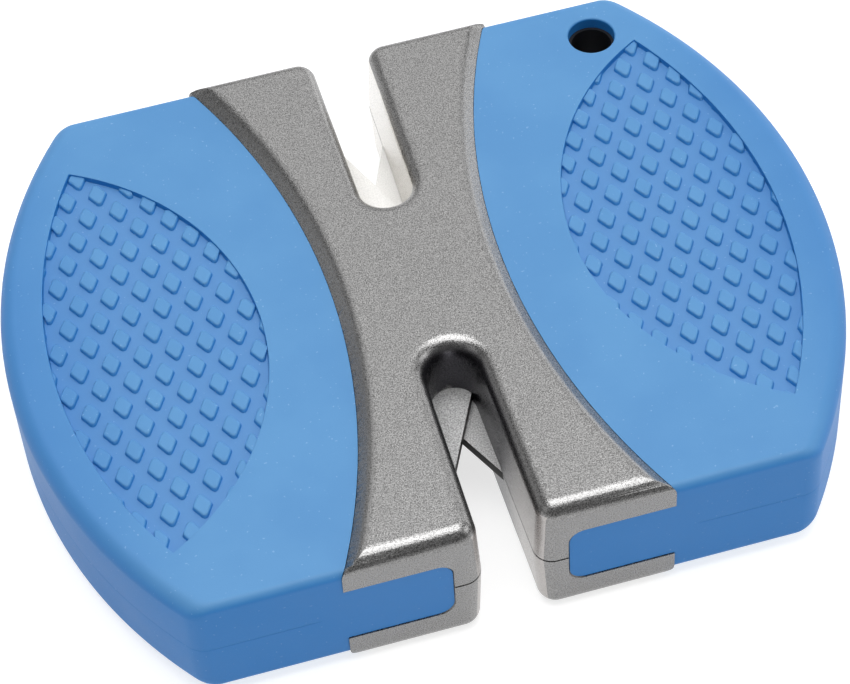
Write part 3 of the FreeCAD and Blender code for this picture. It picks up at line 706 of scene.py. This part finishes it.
@dataclass
class Leaf:
    """The leaf-shaped panel of a wing, and the studs in it, in millimetres."""

    tip: Point2 = (29.97, 24.1)
    outer_x: float = 36.54
    inner_x: float = 15.85
    depth: float = 0.62
    rim: float = 0.12
    stud_reach: Point2 = (0.95, 1.6)
    stud_corner: float = 0.34
    stud_drop: float = 0.22
    stud_eases: tuple[Point2, ...] = ((0.0, 0.14), (0.05, 0.04), (0.15, 0.0))
    stud_foot: Point2 = (-0.07, -0.05)
    pitch: float = 3.12
    row_pitch: float = 2.69
    first_x: float = 18.4
    first_y: float = 0.0
    columns: int = 9
    rows: int = 19
    sliver: float = 0.002 * MM
    least_area: float = 1e-12

    def _arc(self, crown_x: float) -> Point2:
        """The arc through both tips and a crown.

        Args:
            crown_x: Where the arc crosses the X axis.

        Returns:
            The centre's x and the radius.
        """
        rise = crown_x - self.tip[0]
        radius = (self.tip[1] ** 2 + rise ** 2) / (2 * abs(rise))
        return crown_x - math.copysign(radius, rise), radius

    def outline(self, count: int = 96) -> list[Point2]:
        """The outline, anticlockwise from the lower tip.

        Args:
            count: Spans along each arc.

        Returns:
            The points.
        """


        points = []
        for crown_x, sign in ((self.outer_x, 1), (self.inner_x, -1)):
            centre_x, radius = self._arc(crown_x)
            reach = math.asin(self.tip[1] / radius)
            middle = 0.0 if sign > 0 else math.pi
            points += arc((centre_x, 0.0), radius, middle - reach, middle + reach, count)[:-1]
        return points

    def stud(self) -> bpy.types.Mesh:
        """One stud about the origin, from its foot up, in metres.

        Returns:
            The mesh: a rhombus with rounded corners, leaning walls and an eased top.
        """
        top = self.depth - self.stud_drop
        shell = Shell()
        levels = [self.stud_foot, *((inset, top - drop) for inset, drop in self.stud_eases)]
        rings = [shell.ring((x, y, height) for x, y in self._rhombus(inset)) for inset, height in levels]
        shell.stack(rings, capped=True)
        return shell.finish("stud", MM)

    def _rhombus(self, inset: float) -> list[Point2]:
        """A rhombus with rounded corners, anticlockwise.

        Args:
            inset: How far its sides are moved in.

        Returns:
            The points, four to a corner.
        """
        reach_x, reach_y = self.stud_reach
        slope = math.atan2(reach_x, reach_y)
        corner = self.stud_corner
        drop = corner + inset
        points = []
        normals = [-slope, slope, math.pi - slope, math.pi + slope]
        centres = [(reach_x - drop / math.cos(slope), 0.0), (0.0, reach_y - drop / math.sin(slope)),
                   (-reach_x + drop / math.cos(slope), 0.0), (0.0, -reach_y + drop / math.sin(slope))]
        for i, centre in enumerate(centres):
            start, end = normals[i], normals[(i + 1) % 4]
            if end < start:
                end += 2 * math.pi
            points += arc(centre, max(corner - max(inset, 0.0) * 0.5, 0.1), start, end, 3)
        return points

    def node_group(self, lengths: Iterable[str]) -> bpy.types.NodeTree:
        """The geometry group that lays studs in rows, cut off at the leaf's outline, on both faces of a wing.

        Args:
            lengths: Names of its inputs that are lengths.

        Returns:
            The group.
        """
        graph, size = start_group("stud_rows", {"Stud": "Object", "Finish": "Material", "Columns": "Int",
                                                "Rows": "Int", **dict.fromkeys(lengths, "Float")})
        index = graph.wire("GeometryNodeInputIndex")
        column = graph.maths("MODULO", index, size["Columns"])
        row = graph.maths("FLOOR", index / size["Columns"]) - (size["Rows"] - 1.0) * 0.5
        odd = graph.maths("PINGPONG", row, 1.0)
        place = graph.wire("ShaderNodeCombineXYZ", inputs={
            "X": size["First X"] + (column - 1.0 + odd * 0.5) * size["Pitch"],
            "Y": size["First Y"] + row * size["Row Pitch"], "Z": size["Floor"]})
        points = graph.wire("GeometryNodePoints", inputs={"Count": size["Columns"] * size["Rows"],
                                                          "Position": place})
        spare = self._outside(graph, size, "Inner") > size["Margin"]
        spare = spare + (self._outside(graph, size, "Outer") > size["Margin"])
        kept = graph.wire("GeometryNodeDeleteGeometry", inputs={"Geometry": points,
                                                                "Selection": spare > 0.5})
        stud = graph.wire("GeometryNodeObjectInfo", "Geometry", inputs={"Object": size["Stud"]})
        rows = graph.wire("GeometryNodeInstanceOnPoints", inputs={"Points": kept, "Instance": stud})
        top = graph.wire("GeometryNodeRealizeInstances", inputs={0: rows})
        for word in ("Inner", "Outer"):
            top = self._cut_off(graph, size, word, top)
        turned = graph.wire("GeometryNodeTransform", inputs={"Geometry": top, "Scale": (1.0, 1.0, -1.0)})
        under = graph.wire("GeometryNodeFlipFaces", inputs={0: turned})
        both = graph.node("GeometryNodeJoinGeometry")
        for part in (top, under):
            graph.feed(both.inputs[0], part)
        return end_group(graph, both.outputs[0], size["Finish"])

    @staticmethod
    def _from_centre(graph: Graph, size: dict[str, Wire], word: str) -> tuple[Wire, Wire]:
        """The vector from an arc's centre to the present point, and its length, both in plan."""
        here = graph.wire("GeometryNodeInputPosition")
        return graph.in_plan(graph.axis(here, "X") - size[f"{word} Centre"], graph.axis(here, "Y"))

    def _outside(self, graph: Graph, size: dict[str, Wire], word: str) -> Wire:
        """How far the present point lies outside an arc of the outline."""
        _, length = self._from_centre(graph, size, word)
        return length - size[f"{word} Radius"]

    def _cut_off(self, graph: Graph, size: dict[str, Wire], word: str, studs: Wire) -> Wire:
        """Draw what lies outside an arc of the outline back onto it.

        Args:
            graph: The group's graph.
            size: Its inputs by name.
            word: Which arc, "Inner" or "Outer".
            studs: The studs' geometry.

        Returns:
            The moved geometry.
        """
        away, length = self._from_centre(graph, size, word)
        excess = graph.maths("MAXIMUM", (length - size[f"{word} Radius"]) / length)
        back = graph.wire("ShaderNodeVectorMath", 0, {"operation": "SCALE"},
                          {0: away, "Scale": excess * -1.0})
        return graph.wire("GeometryNodeSetPosition", inputs={"Geometry": studs, "Offset": back})

    def studs(self, name: str, floor: float) -> bpy.types.Object:
        """The studs on both faces of the right wing, as a plain mesh about the middle plane.

        Args:
            name: The object's name.
            floor: Height of the leaf's floor above the middle plane, in millimetres.

        Returns:
            The object.
        """
        pattern = bpy.data.objects.new("stud_pattern", self.stud())
        inner, outer = self._arc(self.inner_x), self._arc(self.outer_x)
        lengths = {"Pitch": self.pitch, "Row Pitch": self.row_pitch, "First X": self.first_x,
                   "First Y": self.first_y, "Floor": floor, "Margin": max(self.stud_reach),
                   "Inner Centre": inner[0], "Inner Radius": inner[1],
                   "Outer Centre": outer[0], "Outer Radius": outer[1]}
        given = {label: length * MM for label, length in lengths.items()}
        given |= {"Stud": pattern, "Columns": self.columns, "Rows": self.rows}
        item = run_group(name, self.node_group(lengths), RUBBER, given)
        bpy.data.objects.remove(pattern)
        body = bmesh.new()
        body.from_mesh(item.data)
        bmesh.ops.dissolve_degenerate(body, dist=self.sliver, edges=body.edges)
        loose = [face for face in body.faces if face.calc_area() < self.least_area]
        bmesh.ops.delete(body, geom=loose, context="FACES")
        body.to_mesh(item.data)
        body.free()
        return item


@dataclass
class Wing:
    """A wing's rubber, in millimetres about the middle plane, in the right wing's place."""

    side: Side
    seam: float = 7.8
    half_t: float = 6.6
    half_y: float = 31.15
    waist_centre: float = 79.7
    waist_radius: float = 70.95
    side_centre: float = -8.7
    side_radius: float = 49.6
    corner: float = 2.5
    edge: Point2 = (0.85, 1.7)
    shoulder: float = 2.0
    shoulder_foot: float = 5.8
    lip_inner: float = 5.62
    lip_outer: float = 18.2
    lip_depth: float = 2.0
    lip_half_t: float = 3.79
    lip_round: float = 1.55
    hole: Point2 = (25.95, 26.08)
    hole_radius: float = 2.4
    hole_round: float = 0.22
    mould_line: Point2 = (0.035, 0.06)
    stud_sharp: float = 50.0
    stud_shift: dict[Side, float] = field(default_factory=lambda: {Side.LEFT: 0.71, Side.RIGHT: -0.42})
    leaf: Leaf = field(init=False)

    def __post_init__(self) -> None:
        """Give the leaf its studs' phase, which differs from wing to wing."""
        self.leaf = Leaf(first_y=self.stud_shift[self.side])

    def outline(self, inset: Point2, height: float) -> list[Point2]:
        """The plan at a height, anticlockwise from the waist's lower end.

        Args:
            inset: How far the rounded edges have drawn the ends and the curved side in.
            height: The height above the middle plane, where the waist follows the cover's shoulder.

        Returns:
            The points.
        """
        corner = self.corner - sum(inset) / 2
        end_y, side_radius = self.half_y - inset[0], self.side_radius - inset[1]
        corner_y = end_y - corner
        corner_x = self.side_centre + math.sqrt((side_radius - corner) ** 2 - corner_y ** 2)
        turn = math.atan2(corner_y, corner_x - self.side_centre)
        rise = max(0.0, height - self.shoulder_foot)
        radius = self.waist_radius + self.shoulder - math.sqrt(self.shoulder ** 2 - rise ** 2)
        end_x = self.waist_centre - math.sqrt(radius ** 2 - end_y ** 2)
        spans = 24
        steps = [end_x + (corner_x - end_x) * i / spans for i in range(spans)]
        points = [(x, -end_y) for x in steps]
        points += arc((corner_x, -corner_y), corner, -math.pi / 2, -turn, 10)[:-1]
        points += arc((self.side_centre, 0.0), side_radius, -turn, turn, 120)[:-1]
        points += arc((corner_x, corner_y), corner, turn, math.pi / 2, 10)
        points += [(x, end_y) for x in reversed(steps[1:])]
        reach = math.asin(end_y / radius)
        return points + arc((self.waist_centre, 0.0), radius, math.pi - reach, math.pi + reach, 96)[:-1]

    def skin(self) -> bpy.types.Mesh:
        """The closed skin without its lips.

        Returns:
            The mesh, in millimetres.
        """
        shell = Shell()
        groove, lowest = self.mould_line
        middle = shell.ring((x, y, 0.0) for x, y in self.outline((groove, groove), 0.0))
        levels = [((0.0, 0.0), lowest)]
        steps = 12
        for i in range(steps + 1):
            drop = max(self.edge) * (1 - math.sin(math.pi / 2 * i / steps))
            levels.append((tuple(self._eased(radius, drop) for radius in self.edge), self.half_t - drop))
        stacks = {}
        for sign in (1, -1):
            stacks[sign] = [shell.ring((x, y, sign * level) for x, y in self.outline(inset, level))
                            for inset, level in levels]
            shell.stack([middle, *stacks[sign]])
        holes = self._lanyard(shell) if self.side is Side.RIGHT else {1: [], -1: []}
        for sign, stack in stacks.items():
            shell.fill([stack[-1], self._recess(shell, sign), *holes[sign]])
        return shell.finish(f"{self.side.word}_skin")

    @staticmethod
    def _eased(radius: float, drop: float) -> float:
        """How far in a rounded edge lies at a drop below the face."""
        rise = max(0.0, radius - drop)
        return radius - math.sqrt(radius ** 2 - rise ** 2)

    def _recess(self, shell: Shell, sign: int) -> Ring:
        """The leaf's rim, wall and floor on one face.

        Args:
            shell: The skin's mesh.
            sign: 1 above, -1 below.

        Returns:
            The rim's outer ring.
        """
        outline, rim, depth = self.leaf.outline(), self.leaf.rim, self.leaf.depth
        rings = []
        for inset, drop in ((-rim, 0.0), (-rim * 0.3, rim * 0.3), (0.0, rim), (0.03, depth - 0.1),
                            (0.06, depth - 0.03), (0.13, depth)):
            height = sign * (self.half_t - drop)
            rings.append(shell.ring((x, y, height) for x, y in inset_ring(outline, inset)))
        shell.stack(rings)
        shell.fill([rings[-1]])
        return rings[0]

    def _lanyard(self, shell: Shell) -> dict[int, list[Ring]]:
        """The lanyard hole through the skin, from face to face.

        Args:
            shell: The skin's mesh.

        Returns:
            The ring that opens on each face.
        """
        steps, count = 4, 64
        levels = [(self.hole_radius, 0.0)]
        for i in range(steps + 1):
            angle = math.pi / 2 * i / steps
            levels.append((self.hole_radius + self.hole_round * (1 - math.cos(angle)),
                           self.half_t - self.hole_round * (1 - math.sin(angle))))
        mirrored = [(radius, -height) for radius, height in reversed(levels[1:])]
        rings = []
        for radius, height in mirrored + levels:
            circle = arc(self.hole, radius, 0.0, 2 * math.pi, count)[:-1]
            rings.append(shell.ring((x, y, height) for x, y in circle))
        shell.stack(rings)
        return {1: [rings[-1]], -1: [rings[0]]}

    def lips(self) -> bpy.types.Mesh:
        """The two lips that fill the covers' windows.

        Returns:
            The mesh, in millimetres.
        """
        shell = Shell()
        radius, half = self.lip_round, self.lip_half_t
        nose = arc((self.lip_inner + radius, half - radius), radius, math.pi / 2, math.pi, 8)
        nose += arc((self.lip_inner + radius, radius - half), radius, math.pi, 1.5 * math.pi, 8)
        section = [(self.lip_outer, half), *nose, (self.lip_outer, -half)]
        for sign in (-1, 1):
            outer, inner = sign * self.half_y, sign * (self.half_y - self.lip_depth)
            rings = [shell.ring((x, y, z) for x, z in section) for y in (outer, inner)]
            shell.stack(rings, capped=True)
        return shell.finish("lips")

    def into_place(self, item: bpy.types.Object, scale: float) -> None:
        """Scale a mesh about the middle plane to metres and bring it to the wing's own place."""
        lift = Matrix.Translation((0.0, 0.0, self.seam * MM))
        item.data.transform(lift @ Matrix.Rotation(self.side.value, 4, "Z") @ Matrix.Scale(scale, 4))

    def build(self) -> None:
        """Make the skin and the studs, and declare both."""
        word = self.side.word
        item = as_object(f"{word}_grip_skin", self.skin(), RUBBER)
        combine(item, as_object("lips", self.lips(), RUBBER), "UNION")
        smooth(item)
        self.into_place(item, MM)
        declare(item, Slot.GRIP, f"{word}_grip")
        studs = self.leaf.studs(f"{word}_grip_studs", self.half_t - self.leaf.depth)
        smooth(studs, self.stud_sharp)
        self.into_place(studs, 1.0)
        declare(studs, Slot.GRIP)
        dress_node(f"{word}_core", PLASTIC, Slot.CORE)


# Covers, plates and screws --------------------------------


@dataclass
class Covers:
    """The two cover halves, parted by a hair at their seam, with sloping shoulders along their waists."""

    seam: float = 7.8
    half_t: float = 7.8
    parting: float = 0.1
    waist_centre: float = 79.7
    waist_radius: float = 71.0
    slope: tuple[Point2, ...] = ((-0.33, -1.62), (0.17, -1.2), (1.0, -0.46), (1.3, -0.245), (1.6, -0.1),
                                 (1.9, -0.025), (2.3, 0.03))
    spare: float = 0.5
    sweep: float = 0.52

    def build(self) -> None:
        """Make and declare both halves."""
        for word, sign in (("upper", 1), ("lower", -1)):
            dress_node(f"{word}_cover", PAINT, Slot.COVER, lambda body, sign=sign: self._part(body, sign),
                       self._plane(sign))

    def _part(self, body: bmesh.types.BMesh, sign: int) -> None:
        """Draw a half's seam face back.

        Args:
            body: The half's mesh, in metres.
            sign: 1 for the upper half, -1 for the lower.
        """
        for corner in body.verts:
            if abs(corner.co.z - self.seam * MM) < 1e-3 * MM:
                corner.co.z += sign * self.parting * MM

    def _plane(self, sign: int) -> bpy.types.Mesh:
        """What the slopes leave out of a half's rounded shoulders, left and right.

        Args:
            sign: 1 for the upper half, -1 for the lower.

        Returns:
            The closed mesh, in metres.
        """
        section = [*self.slope, (self.slope[-1][0], self.spare), (self.slope[0][0], self.spare)]
        shell = Shell()
        for side, middle in ((1, math.pi), (-1, 0.0)):
            rows = [arc((side * self.waist_centre, 0.0), self.waist_radius + inward, middle - self.sweep,
                        middle + self.sweep, 96) for inward, _ in section]
            rings = [shell.ring((x, y, sign * (self.half_t + height))
                                for (x, y), (_, height) in zip(points, section)) for points in zip(*rows)]
            shell.stack(rings, capped=True)
        mesh = shell.finish("shoulder_plane", MM)
        mesh.transform(Matrix.Translation((0.0, 0.0, self.seam * MM)))
        return mesh


@dataclass
class Plates:
    """The carbide blades and the ceramic stones, with their edges eased."""

    bevel: float = 0.06
    flat: float = 0.01

    def build(self) -> None:
        """Make and declare all four plates."""
        for side in Side:
            for kind, finish, slot in (("carbide", CARBIDE, Slot.CARBIDE), ("stone", CERAMIC, Slot.CERAMIC)):
                dress_node(f"{side.word}_{kind}", finish, slot, self._ease, word="plate", flat=self.flat)

    def _ease(self, body: bmesh.types.BMesh) -> None:
        """Bevel every edge of a plate's mesh."""
        bmesh.ops.bevel(body, geom=list(body.edges), offset=self.bevel * MM, segments=2, profile=0.5,
                        affect="EDGES")


@dataclass
class Screws:
    """The four case screws, heads down, in millimetres."""

    across: Point2 = (10.2, 26.2)
    head_foot: float = 0.4
    seat: float = 1.5
    top: float = 11.75
    head_radius: float = 1.9
    head_eases: tuple[Point2, ...] = ((0.45, 0.0), (0.12, 0.12), (0.0, 0.42))
    shank_radius: float = 0.85
    tip_radius: float = 0.28
    tip: float = 0.9
    recess_reach: float = 1.05
    recess_half: float = 0.24
    recess_depth: float = 0.75
    recess_taper: float = 0.45
    recess_spare: float = 0.2
    turn: float = 0.7

    def blank(self) -> bpy.types.Mesh:
        """One screw about the Z axis, without its recess.

        Returns:
            The mesh, in metres.
        """
        profile = [(self.head_radius - inset, self.head_foot + rise) for inset, rise in self.head_eases]
        profile += [(self.head_radius, self.seat), (self.shank_radius, self.seat),
                    (self.shank_radius, self.top - self.tip), (self.tip_radius, self.top)]
        shell = Shell()
        rings = [shell.ring((x, y, z) for x, y in arc((0.0, 0.0), radius, 0.0, 2 * math.pi, 40)[:-1])
                 for radius, z in profile]
        shell.stack(rings, capped=True)
        return shell.finish("screw", MM)

    def cross(self) -> bpy.types.Mesh:
        """The tool that cuts a tapered cross into a head.

        Returns:
            The mesh, in metres.
        """
        shell = Shell()
        arm, half = self.recess_reach, self.recess_half
        corners = [(arm, -half), (arm, half), (half, half), (half, arm), (-half, arm), (-half, half),
                   (-arm, half), (-arm, -half), (-half, -half), (-half, -arm), (half, -arm), (half, -half)]
        mouth, floor = self.head_foot - self.recess_spare, self.head_foot + self.recess_depth
        rings = [shell.ring((x * share, y * share, z) for x, y in corners)
                 for share, z in ((1.0, mouth), (self.recess_taper, floor))]
        shell.stack(rings, capped=True)
        return shell.finish("cross", MM)

    def node_group(self) -> bpy.types.NodeTree:
        """The geometry group that sets a screw at the corners of a rectangle.

        Returns:
            The group.
        """
        graph, given = start_group("screw_set", {"Screw": "Object", "Finish": "Material", "Width": "Float",
                                                 "Length": "Float", "Turn": "Float"})
        corners = graph.wire("GeometryNodeMeshGrid", inputs={
            "Size X": given["Width"], "Size Y": given["Length"], "Vertices X": 2, "Vertices Y": 2})
        screw = graph.wire("GeometryNodeObjectInfo", "Geometry", inputs={"Object": given["Screw"]})
        angle = graph.wire("GeometryNodeInputIndex") * given["Turn"]
        turn = graph.wire("ShaderNodeCombineXYZ", inputs={"Z": angle})
        placed = graph.wire("GeometryNodeInstanceOnPoints", inputs={
            "Points": corners, "Instance": screw, "Rotation": turn})
        return end_group(graph, placed, given["Finish"])

    def build(self) -> None:
        screw = as_object("screw", self.blank(), ZINC)
        combine(screw, as_object("cross", self.cross(), ZINC), "DIFFERENCE")
        width, length = (2 * across * MM for across in self.across)
        item = run_group("case_screws", self.node_group(), ZINC,
                         {"Screw": screw, "Width": width, "Length": length, "Turn": self.turn})
        bpy.data.objects.remove(screw)
        smooth(item)
        nodes = [f"case_screw_{end}_{side.word}" for end in ("front", "back") for side in Side]
        declare(item, Slot.SCREW, *nodes)


# Studio ---------------------------------------------------


@dataclass(frozen=True)
class SoftBox:
    """A rectangular light aimed at the object."""

    name: str
    place: Point3
    size: Point2
    radiance: float

    def build(self, target: Vector) -> None:
        """Make the light.

        Args:
            target: What it is aimed at.
        """
        light = bpy.data.lights.new(self.name, "AREA")
        light.shape = "RECTANGLE"
        light.size, light.size_y = self.size
        light.energy = self.radiance * math.pi * self.size[0] * self.size[1]
        item = bpy.data.objects.new(self.name, light)
        item.location = self.place
        item.rotation_mode = "QUATERNION"
        item.rotation_quaternion = (target - Vector(self.place)).to_track_quat("-Z", "Y")
        bpy.context.scene.collection.objects.link(item)


@dataclass
class Studio:
    """Floor, lights and camera."""

    floor_reach: float = 3.0
    floor_gap: float = 0.02 * MM
    ambient: float = 0.2
    camera_place: Point3 = (-38.754, -179.073, 237.098)
    camera_turn: Point3 = (-12.27, 51.77, -4.33)
    focal_pixels: float = 2960.0
    frame_width: float = 850.0
    sensor: float = 36.0
    boxes: tuple[SoftBox, ...] = (
        SoftBox("overhead", (0.0, 0.0, 0.55), (0.46, 0.38), 5.0),
        SoftBox("behind", (0.2, 0.74, 0.74), (1.8, 0.75), 1.15),
        SoftBox("low_behind", (0.1, 1.1, 0.28), (1.0, 0.5), 0.48),
        SoftBox("sweep_left", (-0.85, 0.7, 0.25), (0.9, 0.45), 0.46),
        SoftBox("sweep_right", (0.9, 0.7, 0.16), (1.0, 0.34), 2.1),
        SoftBox("left", (-0.8, -0.2, 0.5), (0.5, 0.4), 0.75),
        SoftBox("right", (0.8, -0.2, 0.5), (0.5, 0.4), 2.8),
    )

    def build(self) -> None:
        """Make the floor, the world, the lights and the camera."""
        self._floor()
        world = bpy.data.worlds.new("studio")
        bpy.context.scene.world = world
        world.use_nodes = True
        graph = Graph(world.node_tree)
        shade = graph.node("ShaderNodeBackground", inputs={"Color": WHITE, "Strength": self.ambient})
        graph.node("ShaderNodeOutputWorld", inputs={"Surface": shade.outputs[0]})
        low, high = CAD_BOX
        for box in self.boxes:
            box.build((low + high) / 2)
        self._camera()
        bpy.context.scene.view_settings.view_transform = "Standard"
        bpy.context.scene.view_settings.look = "None"

    def _floor(self) -> None:
        """A plain pale floor just under the object."""
        reach = self.floor_reach
        mesh = bpy.data.meshes.new("floor")
        corners = [(x * reach, y * reach, -self.floor_gap) for x, y in ((-1, -1), (1, -1), (1, 1), (-1, 1))]
        mesh.from_pydata(corners, [], [(0, 1, 2, 3)])
        as_object("floor", mesh, FLOOR)

    def _camera(self) -> None:
        """The camera where the photograph was taken from."""
        azimuth, elevation, roll = (math.radians(angle) for angle in self.camera_turn)
        back = Vector((math.sin(azimuth) * math.cos(elevation), -math.cos(azimuth) * math.cos(elevation),
                       math.sin(elevation)))
        level = Vector((math.cos(azimuth), math.sin(azimuth), 0.0))
        rise = back.cross(level)
        right = math.cos(roll) * level + math.sin(roll) * rise
        up = math.cos(roll) * rise - math.sin(roll) * level
        data = bpy.data.cameras.new("camera")
        data.sensor_width = self.sensor
        data.lens = self.focal_pixels / self.frame_width * self.sensor
        data.clip_start, data.clip_end = 0.01, 20.0
        camera = bpy.data.objects.new("camera", data)
        camera.matrix_world = Matrix.Translation(Vector(self.camera_place) * MM) @ Matrix(
            (right, up, back)).transposed().to_4x4()
        bpy.context.scene.collection.objects.link(camera)
        bpy.context.scene.camera = camera


def main() -> None:
    """Build every piece, then the studio."""
    logging.basicConfig(level=logging.INFO, format="%(name)s: %(message)s")
    Studio().build()
    for side in Side:
        Wing(side).build()
    Covers().build()
    Plates().build()
    Screws().build()


if __name__ == "__main__":
    main()
